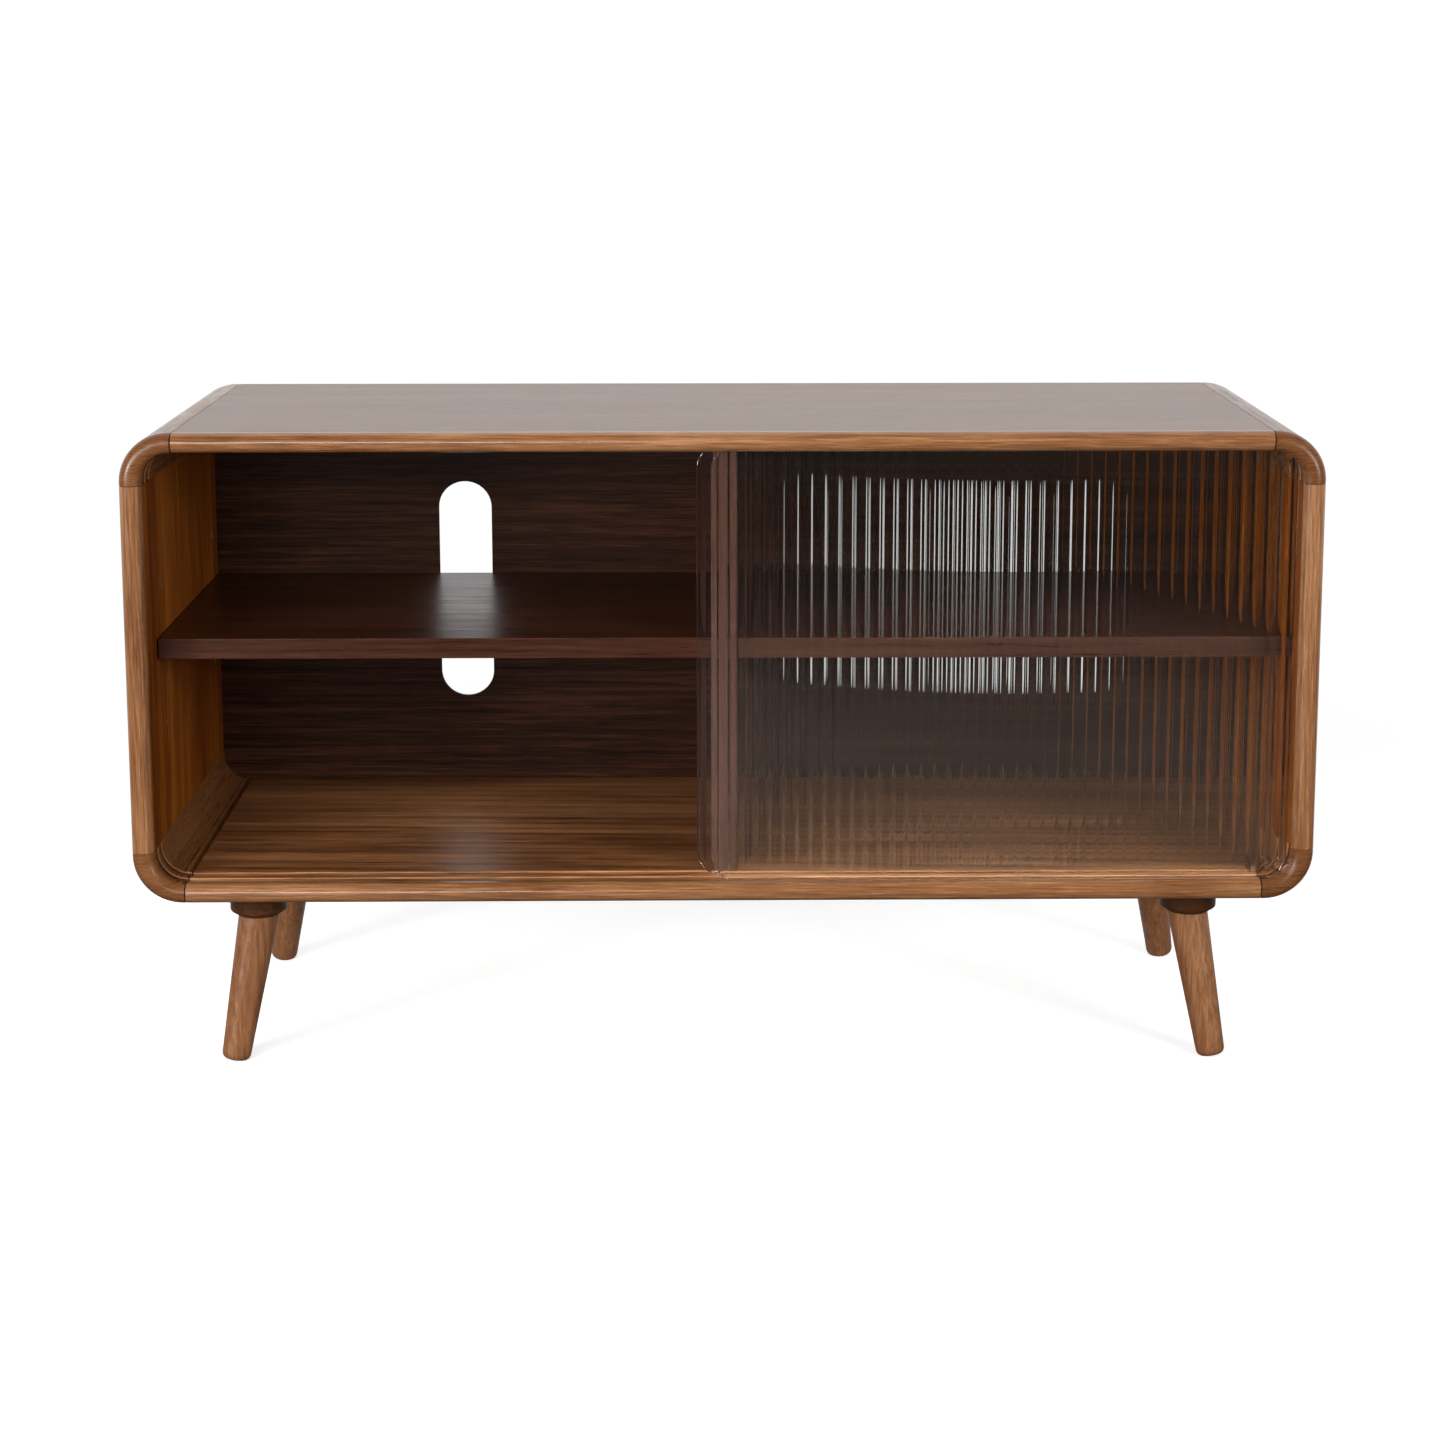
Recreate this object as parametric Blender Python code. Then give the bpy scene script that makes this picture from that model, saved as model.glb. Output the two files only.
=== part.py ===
"""Media cabinet on splayed legs: round-cornered walnut body, fluted glass sliding doors.

Metres, +Z up. The origin is on the floor under the middle of the cabinet, +X runs to the
viewer's right along the length and +Y runs from the open front to the back.
"""
from math import cos, pi, radians, sin

import bmesh
import bpy
from mathutils import Vector

for leftover in list(bpy.data.objects):
    bpy.data.objects.remove(leftover, do_unlink=True)

# ---- overall sizes -----------------------------------------------------------------------
WIDTH = 1.200            # over the side panels
DEPTH = 0.420
BODY_H = 0.482           # body alone, without the legs
LEG_H = 0.182            # floor to the underside of the body
GAP = 0.0003             # clearance left between faces that touch
Z_BOT = LEG_H
Z_TOP = LEG_H + BODY_H
FRONT = -DEPTH / 2
BACK = DEPTH / 2

# ---- boards ------------------------------------------------------------------------------
T_BOARD = 0.020          # top and bottom
T_SIDE = 0.022           # sides
CORNER = 0.053           # length that a corner block takes from each board
R_OUT = 0.050            # outer radius of a corner block
R_IN = 0.029             # inner radius of a corner block
PROUD_X = 0.0004         # a block stands this far inside the side panel's inner face
PROUD_Z = 0.0006         # and this far inside the top or bottom panel's inner face
NOSE = 0.010             # depth of the half-round front edge
LIPPING = 0.012          # depth of the solid strip that carries it
REAR_R = 0.008           # rounding of the rear outer edge
REBATE_W = 0.010         # step that the back panel lies in
REBATE_D = 0.006
X_IN = WIDTH / 2 - T_SIDE            # inner face of a side panel
Z_FLOOR = Z_BOT + T_BOARD            # inner face of the bottom panel
Z_CEIL = Z_TOP - T_BOARD             # inner face of the top panel
X_JOINT = WIDTH / 2 - CORNER         # where a board meets its corner block

# ---- door grooves ------------------------------------------------------------------------
GROOVE_W = 0.010
GROOVE_FRONT = FRONT + 0.0215        # centre line of the front groove
GROOVE_REAR = FRONT + 0.0405
DEEP_BOT = 0.005
DEEP_TOP = 0.012                     # deeper, so that a door lifts up and out

# ---- doors -------------------------------------------------------------------------------
DOOR_W = 0.589
DOOR_T = 0.006
DOOR_R = 0.028                       # corner radius
DOOR_Z0 = Z_FLOOR - DEEP_BOT + 0.0005
DOOR_Z1 = Z_CEIL + 0.0065
FLUTES = 42                          # 14 mm pitch
FLUTE_DEEP = 0.0020                  # hollow of each flute at its middle
FLUTE_STEPS = 4
RIGHT_DOOR_X = 0.281                 # centre of the right-hand door, in the front groove
LEFT_DOOR_X = 0.2665                 # centre of the left-hand door, pushed open to the right

# ---- inside ------------------------------------------------------------------------------
DIVIDER_T = 0.021
DIVIDER_FRONT = FRONT + 0.047
BACK_T = 0.004
BACK_FRONT = BACK - REBATE_D + 0.0002
SLOT_X = 0.2937                      # centre of a cable slot
SLOT_W = 0.060
SLOT_Z0 = Z_BOT + 0.1188
SLOT_Z1 = Z_BOT + 0.3694
SHELF_TOP = Z_BOT + 0.2637
SHELF_T = 0.021
SHELF_FRONT = FRONT + 0.055
SHELF_BACK = FRONT + 0.412
SHELF_SIDE_GAP = 0.0015
PIN_Z = Z_BOT + 0.2400
PIN_PITCH = 0.0725
PIN_Y = (FRONT + 0.092, FRONT + 0.381)
PIN_R = 0.0025
SOCKET_R = 0.004

# ---- legs --------------------------------------------------------------------------------
LEG_TOP = (0.479, 0.135)             # axis where it would meet the body
LEG_FOOT = (0.509, 0.163)            # axis at the floor
LEG_R_TOP = 0.0221
LEG_R_FOOT = 0.0146
LEG_ROUND = 0.006
COLLAR_H = 0.030
COLLAR_R = 0.0295
COLLAR_R_LOW = 0.0232
COLLAR_CHAMFER = 0.0055
BOLT_R = 0.004
SCREW_R = 0.0015
SCREW_SITES = [(x, z) for z in (Z_BOT + 0.015, Z_TOP - 0.015) for x in (-0.40, 0.0, 0.40)]
SCREW_SITES += [(-X_IN - 0.005, Z_BOT + 0.24), (X_IN + 0.005, Z_BOT + 0.24)]


# ---- materials ---------------------------------------------------------------------------
def material(name, color, roughness, metallic=0.0, transmission=0.0):
    mat = bpy.data.materials.new(name)
    mat.use_nodes = True
    shader = mat.node_tree.nodes["Principled BSDF"]
    shader.inputs["Base Color"].default_value = (*color, 1.0)
    shader.inputs["Roughness"].default_value = roughness
    shader.inputs["Metallic"].default_value = metallic
    shader.inputs["Transmission Weight"].default_value = transmission
    mat.diffuse_color = (*color, 1.0)
    return mat


VENEER = material("walnut_veneer", (0.235, 0.115, 0.055), 0.42)
SOLID = material("solid_walnut", (0.300, 0.160, 0.080), 0.38)
LAMINATE = material("dark_laminate", (0.075, 0.036, 0.022), 0.48)
LEG_WOOD = material("leg_walnut", (0.260, 0.130, 0.065), 0.42)
COLLAR_WOOD = material("collar_walnut", (0.110, 0.050, 0.025), 0.50)
GLASS = material("fluted_glass", (0.80, 0.83, 0.81), 0.05, transmission=1.0)
STEEL = material("nickel_steel", (0.62, 0.60, 0.57), 0.30, metallic=1.0)


# ---- mesh helpers ------------------------------------------------------------------------
def mesh_object(name, verts, faces, mat, location=(0, 0, 0)):
    """One closed mesh with its normals turned outwards."""
    bm = bmesh.new()
    made = [bm.verts.new(v) for v in verts]
    for face in faces:
        bm.faces.new([made[i] for i in face])
    bmesh.ops.recalc_face_normals(bm, faces=bm.faces)
    mesh = bpy.data.meshes.new(name)
    bm.to_mesh(mesh)
    bm.free()
    obj = bpy.data.objects.new(name, mesh)
    obj.location = location
    bpy.context.collection.objects.link(obj)
    if mat is not None:
        mesh.materials.append(mat)
    return obj


def loft(name, rings, mat, location=(0, 0, 0)):
    """Skin over closed rings with the same number of points, with a cap on both ends."""
    n = len(rings[0])
    verts = [p for ring in rings for p in ring]
    faces = [tuple(range(n)), tuple(range(len(verts) - n, len(verts)))]
    for k in range(len(rings) - 1):
        for i in range(n):
            j = (i + 1) % n
            faces.append((k * n + i, k * n + j, (k + 1) * n + j, (k + 1) * n + i))
    return mesh_object(name, verts, faces, mat, location)


def turned(profile, start, axis, segments):
    """Rings of a turned shape: profile is (distance along the axis, radius)."""
    axis = Vector(axis).normalized()
    side = axis.orthogonal().normalized()
    other = axis.cross(side)
    rings = []
    for along, radius in profile:
        centre = Vector(start) + axis * along
        rings.append([centre + (side * cos(a) + other * sin(a)) * radius
                      for a in (2 * pi * i / segments for i in range(segments))])
    return rings


def tube(name, profile, start, axis, segments, mat):
    """Turned ring whose closed profile never touches the axis."""
    rings = turned(profile, start, axis, segments)
    n = segments
    verts = [p for ring in rings for p in ring]
    faces = []
    for k in range(len(rings)):
        m = (k + 1) % len(rings)
        for i in range(n):
            j = (i + 1) % n
            faces.append((k * n + i, k * n + j, m * n + j, m * n + i))
    return mesh_object(name, verts, faces, mat)


def cutter(name, shapes):
    """Hidden tool mesh; shapes is a list of ring stacks, each one a separate plug."""
    verts, faces = [], []
    for rings in shapes:
        base, n = len(verts), len(rings[0])
        verts += [p for ring in rings for p in ring]
        last = base + n * (len(rings) - 1)
        faces += [tuple(range(base, base + n)), tuple(range(last, last + n))]
        for k in range(len(rings) - 1):
            for i in range(n):
                j = (i + 1) % n
                faces.append(tuple(base + q for q in
                                   (k * n + i, k * n + j, (k + 1) * n + j, (k + 1) * n + i)))
    tool = mesh_object(name, verts, faces, None)
    tool.hide_render = True
    tool.display_type = "WIRE"
    return tool


def cut(target, *tools):
    for tool in tools:
        mod = target.modifiers.new(tool.name, "BOOLEAN")
        mod.operation = "DIFFERENCE"
        mod.solver = "EXACT"
        mod.object = tool


# ---- edge profiles -----------------------------------------------------------------------
# A profile point is (distance outwards from the board's inner face, y).
def half_round(t, steps=12):
    angles = [pi * i / steps for i in range(steps + 1)]
    return [(t / 2 - t / 2 * cos(a), FRONT + NOSE - NOSE * sin(a)) for a in angles]


def rear_edge(t, steps=4):
    """Rounded outer corner, then the rebate for the back panel on the inner side."""
    angles = [pi / 2 * i / steps for i in range(steps + 1)]
    points = [(t - REAR_R + REAR_R * cos(a), BACK - REAR_R + REAR_R * sin(a)) for a in angles]
    return points + [(REBATE_W, BACK), (REBATE_W, BACK - REBATE_D), (0.0, BACK - REBATE_D)]


def door_grooves(deep):
    points = []
    for centre in (GROOVE_REAR, GROOVE_FRONT):
        near, far = centre - GROOVE_W / 2, centre + GROOVE_W / 2
        points += [(0.0, far), (deep, far), (deep, near), (0.0, near)]
    return points


def board_profile(t, deep=None):
    start = FRONT + LIPPING + GAP / 2
    return [(0.0, start), (t, start)] + rear_edge(t) + (door_grooves(deep) if deep else [])


def lipping_profile(t):
    end = FRONT + LIPPING - GAP / 2
    return half_round(t) + [(t, end), (0.0, end)]


# ---- top, bottom and sides ---------------------------------------------------------------
def long_board(name, profile, z_face, up, mat):
    """Board along X; up is the way from its inner face to its outer face."""
    half = X_JOINT - GAP / 2
    rings = [[(x, y, up * d) for d, y in profile] for x in (-half, half)]
    return loft(name, rings, mat, (0, 0, z_face))


def side_board(name, profile, side, mat):
    z0, z1 = Z_BOT + CORNER + GAP / 2, Z_TOP - CORNER - GAP / 2
    rings = [[(side * d, y, z) for d, y in profile] for z in (z0, z1)]
    return loft(name, rings, mat, (side * X_IN, 0, 0))


top_panel = long_board("top_panel", board_profile(T_BOARD, DEEP_TOP), Z_CEIL, 1, VENEER)
bottom_panel = long_board("bottom_panel", board_profile(T_BOARD, DEEP_BOT), Z_FLOOR, -1, VENEER)
long_board("top_front_lipping", lipping_profile(T_BOARD), Z_CEIL, 1, SOLID)
long_board("bottom_front_lipping", lipping_profile(T_BOARD), Z_FLOOR, -1, SOLID)
side_panels = {}
for side, word in ((-1, "left"), (1, "right")):
    side_panels[side] = side_board(f"{word}_side_panel", board_profile(T_SIDE), side, VENEER)
    side_board(f"{word}_front_lipping", lipping_profile(T_SIDE), side, SOLID)


def corner_block(name, side, up):
    """Quarter ring from the side panel's end to the top or bottom panel's end."""
    deep = (DEEP_TOP if up > 0 else DEEP_BOT) + PROUD_Z
    edge = X_JOINT + GAP / 2
    z_edge = CORNER - GAP / 2
    ci = Vector((X_IN - PROUD_X - R_IN, T_BOARD + PROUD_Z + R_IN))     # centre, inner face
    co = Vector((WIDTH / 2 - R_OUT, R_OUT))                            # centre, outer face
    stations = [(Vector((X_IN - PROUD_X, z_edge)), Vector((WIDTH / 2, z_edge)))]
    for i in range(11):
        a = pi / 2 * i / 10
        way = Vector((cos(a), -sin(a)))
        stations.append((ci + way * R_IN, co + way * R_OUT))
    stations.append((Vector((edge, T_BOARD + PROUD_Z)), Vector((edge, 0.0))))
    rings = []
    for inner, outer in stations:
        out = outer - inner
        t = out.length
        profile = half_round(t) + rear_edge(t) + door_grooves(deep)
        ring = []
        for d, y in profile:
            p = inner + out * (d / t)
            ring.append((side * p.x, y, Z_TOP - p.y if up > 0 else Z_BOT + p.y))
        rings.append(ring)
    return loft(name, rings, SOLID)


for up, level in ((1, "top"), (-1, "bottom")):
    for side, word in ((-1, "left"), (1, "right")):
        corner_block(f"corner_block_{level}_{word}", side, up)

# ---- back panel --------------------------------------------------------------------------
def rounded_rect(half_w, half_h, radius, steps):
    points = []
    for sx, sz, turn in ((1, 1, 0), (-1, 1, 90), (-1, -1, 180), (1, -1, 270)):
        for i in range(steps + 1):
            a = radians(turn + 90 * i / steps)
            points.append((sx * (half_w - radius) + radius * cos(a),
                           sz * (half_h - radius) + radius * sin(a)))
    return points


def upright(outline, y0, y1, x=0.0, z=0.0):
    return [[(x + px, y, z + pz) for px, pz in outline] for y in (y0, y1)]


back_half = (X_IN - PROUD_X + REBATE_W - GAP, BODY_H / 2 - T_BOARD - PROUD_Z + REBATE_W - GAP)
outline = rounded_rect(*back_half, R_IN + REBATE_W + 0.003, 6)
back_panel = loft("back_panel", upright(outline, 0.0, BACK_T), LAMINATE,
                  (0, BACK_FRONT, Z_BOT + BODY_H / 2))
slot_outline = rounded_rect(SLOT_W / 2, (SLOT_Z1 - SLOT_Z0) / 2, SLOT_W / 2 - 1e-4, 8)
cut(back_panel, cutter("cable_slot_cutter", [
    upright(slot_outline, BACK - 0.03, BACK + 0.03, side * SLOT_X, (SLOT_Z0 + SLOT_Z1) / 2)
    for side in (-1, 1)]))

# ---- centre divider and shelves ----------------------------------------------------------
def block(name, lo, hi, mat):
    centre = [(a + b) / 2 for a, b in zip(lo, hi)]
    hx, hy, hz = [(b - a) / 2 for a, b in zip(lo, hi)]
    square = [(-hx, -hy), (hx, -hy), (hx, hy), (-hx, hy)]
    return loft(name, [[(x, y, z) for x, y in square] for z in (-hz, hz)], mat, centre)


divider = block("centre_divider", (-DIVIDER_T / 2, DIVIDER_FRONT, Z_FLOOR + GAP),
                (DIVIDER_T / 2, BACK_FRONT - GAP, Z_CEIL - GAP), LAMINATE)
for side, word in ((-1, "left"), (1, "right")):
    x0, x1 = sorted((side * (DIVIDER_T / 2 + SHELF_SIDE_GAP), side * (X_IN - SHELF_SIDE_GAP)))
    block(f"{word}_shelf", (x0, SHELF_FRONT, SHELF_TOP - SHELF_T),
          (x1, SHELF_BACK, SHELF_TOP), LAMINATE)

# Each shelf stands on four pins: two in the side panel and two in the divider. The side
# panels have a lined spare hole above and below each pin; the divider's are plain holes.
PIN_FLANGE = (0.00015, 0.00095)
pin_holes = {-1: [], 1: [], 0: []}
for side, word in ((-1, "left"), (1, "right")):
    for y, row in zip(PIN_Y, ("front", "rear")):
        for face_x, inward, key, where in ((side * X_IN, -side, side, "outer"),
                                           (side * DIVIDER_T / 2, side, 0, "inner")):
            axis = (inward, 0, 0)
            profile = [(-0.0080, PIN_R - 0.0004), (-0.0076, PIN_R), (PIN_FLANGE[0], PIN_R),
                       (PIN_FLANGE[0], 0.0050), (PIN_FLANGE[1], 0.0050),
                       (PIN_FLANGE[1], PIN_R), (0.0106, PIN_R), (0.0110, PIN_R - 0.0004)]
            rings = turned(profile, (face_x, y, PIN_Z), axis, 14)
            loft(f"shelf_pin_{word}_{row}_{where}", rings, STEEL)
            hole = turned([(-0.0086, PIN_R + GAP), (0.002, PIN_R + GAP)],
                          (face_x, y, PIN_Z), axis, 14)
            pin_holes[key].append(hole)
            for step, level in ((-1, "lower"), (1, "upper")):
                z = PIN_Z + step * PIN_PITCH
                lined = where == "outer"
                deep, r = (-0.0110, SOCKET_R + GAP) if lined else (-0.0086, PIN_R + GAP)
                pin_holes[key].append(turned([(deep, r), (0.002, r)],
                                             (face_x, y, z), axis, 14))
                if lined:
                    ring = [(-0.0105, PIN_R + GAP), (-0.0105, SOCKET_R),
                            (PIN_FLANGE[0], SOCKET_R), (PIN_FLANGE[0], 0.0054),
                            (PIN_FLANGE[1], 0.0054), (PIN_FLANGE[1], PIN_R + GAP)]
                    tube(f"pin_socket_{word}_{row}_{level}", ring, (face_x, y, z),
                         axis, 14, STEEL)
for key, target in ((-1, side_panels[-1]), (1, side_panels[1]), (0, divider)):
    cut(target, cutter(f"{target.name}_pin_hole_cutter", pin_holes[key]))

# ---- screws that hold the back panel -----------------------------------------------------
shafts = [turned([(0.0, SCREW_R + GAP), (0.024, SCREW_R + GAP)],
                 (x, BACK - 0.021, z), (0, 1, 0), 12) for x, z in SCREW_SITES]
screw_cutter = cutter("back_screw_hole_cutter", shafts)
cut(back_panel, screw_cutter)
for target in (top_panel, bottom_panel, *side_panels.values()):
    cut(target, screw_cutter)
for number, (x, z) in enumerate(SCREW_SITES, 1):
    seat = BACK_FRONT + BACK_T + GAP / 2
    profile = [(-0.0180, 0.0006), (-0.0165, SCREW_R), (0.0, SCREW_R), (0.0, 0.0036),
               (0.0008, 0.0036), (0.0013, 0.0026)]
    loft(f"back_screw_{number}", turned(profile, (x, seat, z), (0, 1, 0), 12), STEEL)

# ---- legs --------------------------------------------------------------------------------
def trim(obj, z, keep_above):
    """Cuts a mesh off square at height z and closes it with one flat face."""
    bm = bmesh.new()
    bm.from_mesh(obj.data)
    bmesh.ops.bisect_plane(bm, geom=bm.verts[:] + bm.edges[:] + bm.faces[:], dist=1e-7,
                           plane_co=(0, 0, z), plane_no=(0, 0, 1),
                           clear_inner=keep_above, clear_outer=not keep_above)
    bmesh.ops.edgeloop_fill(bm, edges=[e for e in bm.edges if e.is_boundary])
    bmesh.ops.recalc_face_normals(bm, faces=bm.faces)
    bm.to_mesh(obj.data)
    bm.free()


bolt_holes = []
for sx, word in ((-1, "left"), (1, "right")):
    for sy, row in ((-1, "front"), (1, "rear")):
        at_body = Vector((sx * LEG_TOP[0], sy * LEG_TOP[1], Z_BOT))
        at_floor = Vector((sx * LEG_FOOT[0], sy * LEG_FOOT[1], 0.0))
        axis = (at_floor - at_body).normalized()
        length = (at_floor - at_body).length

        # The leg is turned, so its foot is square to its own axis; the edge of the foot
        # that would touch first is sanded flat where it stands on the floor.
        drop = 0.0009 / -axis.z
        full = length - drop
        begin = COLLAR_H * 0.6
        profile = [(begin, LEG_R_TOP + (LEG_R_TOP - LEG_R_FOOT) * 0.06)]
        for i in range(1, 5):
            along = begin + (full - LEG_ROUND - begin) * i / 4
            profile.append((along, LEG_R_TOP + (LEG_R_FOOT - LEG_R_TOP) * along / full))
        for i in range(1, 6):
            a = pi / 2 * i / 5
            profile.append((full - LEG_ROUND + LEG_ROUND * sin(a),
                            LEG_R_FOOT - LEG_ROUND + LEG_ROUND * cos(a)))
        leg = loft(f"leg_{row}_{word}", turned(profile, at_body, axis, 28), LEG_WOOD)
        trim(leg, Z_BOT - COLLAR_H - GAP, keep_above=False)
        trim(leg, 0.0, keep_above=True)

        centre = at_body + axis * (COLLAR_H / -axis.z)
        centre.z = Z_BOT - GAP / 2
        profile = [(0.0, COLLAR_R), (COLLAR_H - COLLAR_CHAMFER, COLLAR_R),
                   (COLLAR_H - 0.0008, COLLAR_R_LOW), (COLLAR_H - GAP / 2, COLLAR_R_LOW - 0.0007)]
        collar = loft(f"leg_collar_{row}_{word}", turned(profile, centre, (0, 0, -1), 32),
                      COLLAR_WOOD)

        # Threaded bolt from the leg through the collar into the underside of the body.
        low, high = COLLAR_H + 0.030, -0.013
        tip = 0.0010
        bolt = [(high, BOLT_R - tip), (high + tip, BOLT_R), (low - tip, BOLT_R),
                (low, BOLT_R - tip)]
        loft(f"leg_bolt_{row}_{word}", turned(bolt, at_body, axis, 14), STEEL)
        hole = cutter(f"bolt_hole_cutter_{row}_{word}", [turned(
            [(high - 0.001, BOLT_R + GAP), (low + 0.002, BOLT_R + GAP)], at_body, axis, 14)])
        cut(leg, hole)
        cut(collar, hole)
        cut(bottom_panel, hole)

# ---- sliding doors -----------------------------------------------------------------------
def door(name, x, y, start):
    """Slab of glass with hollow flutes on its front face, plain back, rounded corners.

    The sheet is cut from a longer one: start is the share of a flute lost at the left edge.
    """
    height = DOOR_Z1 - DOOR_Z0
    pitch = DOOR_W / FLUTES
    marks = [pitch * (n / FLUTE_STEPS - start) for n in range((FLUTES + 1) * FLUTE_STEPS + 1)]
    stations = [0.0] + [m for m in marks if 0.0005 < m < DOOR_W - 0.0005] + [DOOR_W]
    verts = []
    for s in stations:
        inset = min(s, DOOR_W - s)
        cutback = 0.0
        if inset < DOOR_R:
            cutback = DOOR_R - (DOOR_R ** 2 - (DOOR_R - inset) ** 2) ** 0.5
        across = (s / pitch + start) % 1.0
        y_front = -DOOR_T / 2 + FLUTE_DEEP * (1 - (2 * across - 1) ** 2)
        z0, z1 = -height / 2 + cutback, height / 2 - cutback
        px = s - DOOR_W / 2
        verts += [(px, y_front, z0), (px, y_front, z1), (px, DOOR_T / 2, z1),
                  (px, DOOR_T / 2, z0)]
    faces = [(0, 1, 2, 3), tuple(len(verts) - k for k in (4, 3, 2, 1))]
    for k in range(len(stations) - 1):
        for i in range(4):
            j = (i + 1) % 4
            faces.append((4 * k + i, 4 * k + j, 4 * k + 4 + j, 4 * k + 4 + i))
    return mesh_object(name, verts, faces, GLASS, (x, y, (DOOR_Z0 + DOOR_Z1) / 2))


door("right_glass_door", RIGHT_DOOR_X, GROOVE_FRONT, 0.60)
door("left_glass_door", LEFT_DOOR_X, GROOVE_REAR, 0.30)
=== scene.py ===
"""Media cabinet: walnut body with round solid corners, fluted glass sliding doors, splayed legs.

Metres, same frame as the CAD part: origin on the floor under the middle, +X to the viewer's
right, +Y from the open front to the back.
"""
from math import cos, pi, radians, sin, sqrt

import bmesh
import bpy
from mathutils import Matrix, Vector
from mathutils.geometry import tessellate_polygon


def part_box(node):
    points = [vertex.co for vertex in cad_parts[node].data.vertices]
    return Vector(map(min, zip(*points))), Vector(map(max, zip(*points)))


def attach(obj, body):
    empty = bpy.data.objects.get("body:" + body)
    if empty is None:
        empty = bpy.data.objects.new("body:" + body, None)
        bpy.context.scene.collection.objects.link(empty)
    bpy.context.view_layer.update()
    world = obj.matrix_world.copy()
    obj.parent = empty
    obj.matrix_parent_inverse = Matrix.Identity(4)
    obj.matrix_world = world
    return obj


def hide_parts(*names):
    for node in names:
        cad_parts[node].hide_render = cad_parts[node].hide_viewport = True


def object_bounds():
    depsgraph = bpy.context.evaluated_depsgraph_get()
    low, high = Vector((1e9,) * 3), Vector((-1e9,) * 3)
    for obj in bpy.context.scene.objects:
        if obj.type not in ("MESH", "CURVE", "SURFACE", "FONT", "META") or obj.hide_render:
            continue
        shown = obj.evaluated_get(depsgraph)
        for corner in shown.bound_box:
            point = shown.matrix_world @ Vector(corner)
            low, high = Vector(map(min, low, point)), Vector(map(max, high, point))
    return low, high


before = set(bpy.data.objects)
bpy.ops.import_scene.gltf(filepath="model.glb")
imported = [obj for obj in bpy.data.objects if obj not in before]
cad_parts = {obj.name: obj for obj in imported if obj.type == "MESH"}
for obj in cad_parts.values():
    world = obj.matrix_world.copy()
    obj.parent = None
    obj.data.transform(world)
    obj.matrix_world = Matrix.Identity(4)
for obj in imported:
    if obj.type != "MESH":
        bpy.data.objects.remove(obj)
CAD_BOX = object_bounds()

# ---- sizes, as in the CAD ----------------------------------------------------------------
lo, hi = CAD_BOX
FRONT, BACK = lo.y, hi.y
Z_TOP = hi.z
WIDTH = hi.x - lo.x
BODY_H = 0.482
Z_BOT = Z_TOP - BODY_H
T_BOARD, T_SIDE = 0.020, 0.022
X_IN = WIDTH / 2 - T_SIDE
Z_FLOOR, Z_CEIL = Z_BOT + T_BOARD, Z_TOP - T_BOARD
CORNER = 0.053
X_JOINT = WIDTH / 2 - CORNER
R_OUT, R_IN = 0.050, 0.029
PROUD_X, PROUD_Z = 0.0004, 0.0006
NOSE, LIPPING = 0.010, 0.012
REAR_R, REBATE_W, REBATE_D = 0.008, 0.010, 0.006
GROOVE_W = 0.010
GROOVE_FRONT, GROOVE_REAR = FRONT + 0.0215, FRONT + 0.0405
DEEP_BOT, DEEP_TOP = 0.005, 0.012
DOOR_R = 0.028                       # corner radius of a door
FLUTES, FLUTE_DEEP = 42, 0.0020
BACK_T, BACK_CORNER = 0.004, 0.042
SLOT_X, SLOT_W = 0.2937, 0.060       # cable slots in the back panel
SLOT_LOW, SLOT_HIGH = Z_BOT + 0.1188, Z_BOT + 0.3694
LEG_TOP, LEG_FOOT = (0.479, 0.135), (0.509, 0.163)      # leg axis at the body and the floor
LEG_R_TOP, LEG_R_FOOT, LEG_ROUND = 0.0221, 0.0146, 0.006
COLLAR_H, COLLAR_R = 0.030, 0.0295
BODY, RIGHT, LEFT = "cabinet_body", "right_door", "left_door"

# ---- finish of the visual pieces ---------------------------------------------------------
EASE = 0.0006                        # sanded arris at the ends and grooves of wooden pieces
JOINT_GAP = 0.0003                   # half the seam between a long board and its corner block
SIDE_GAP = 0.00012                   # the same at the ends of an upright board
GLUE_GAP = 0.00003                   # half the seam between a board and its lipping
PAINTED_LIP_HIGHLIGHT, PAINTED_GROOVE_SHADE = 0.55, -0.45  # painted highlight on the lips and painted shade in the bottoms of the door grooves
FLOOR_R = 4.0                        # radius of the studio floor


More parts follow.
